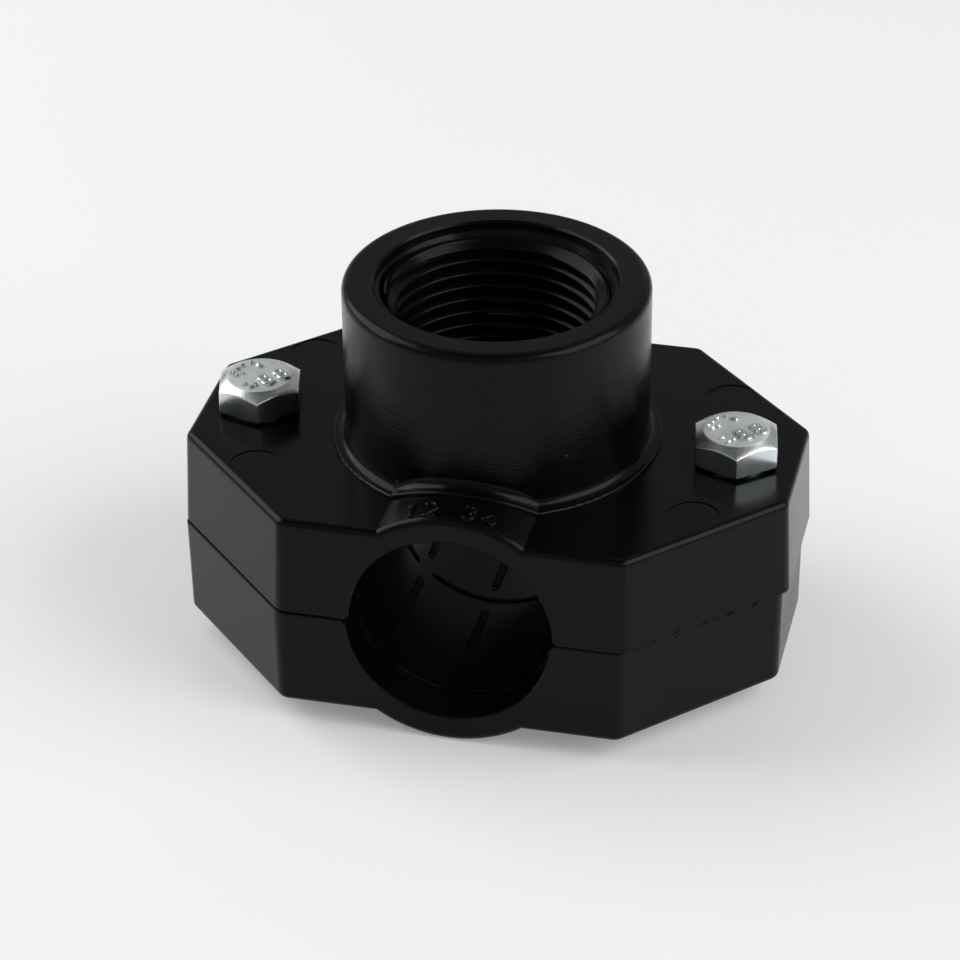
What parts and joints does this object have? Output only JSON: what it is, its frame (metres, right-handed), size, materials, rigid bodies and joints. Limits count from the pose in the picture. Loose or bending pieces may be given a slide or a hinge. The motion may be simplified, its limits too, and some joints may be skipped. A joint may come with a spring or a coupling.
{
  "type": "tapping saddle",
  "caption": "Two-half clamp saddle that bolts round a plastic pipe and carries a female threaded branch outlet.",
  "frame": {"origin": "where the pipe axis crosses the branch axis, in the plane where the two halves meet", "axes": "+Z out of the branch, +Y along the pipe, +X along the line through the two bolts"},
  "size_m": [0.0761, 0.0524, 0.05],
  "materials": {
    "black_plastic": "semi-matt moulded polypropylene",
    "black_rubber": "matt moulded nitrile rubber",
    "zinc_steel": "bright blue-passivated zinc plating"
  },
  "bodies": {
    "root": {"saddle_body": "black_plastic", "lower_strap": "black_plastic", "branch_gasket": "black_rubber", "bolt_left": "zinc_steel", "bolt_right": "zinc_steel", "nut_left": "zinc_steel", "nut_right": "zinc_steel"}
  },
  "joints": []
}
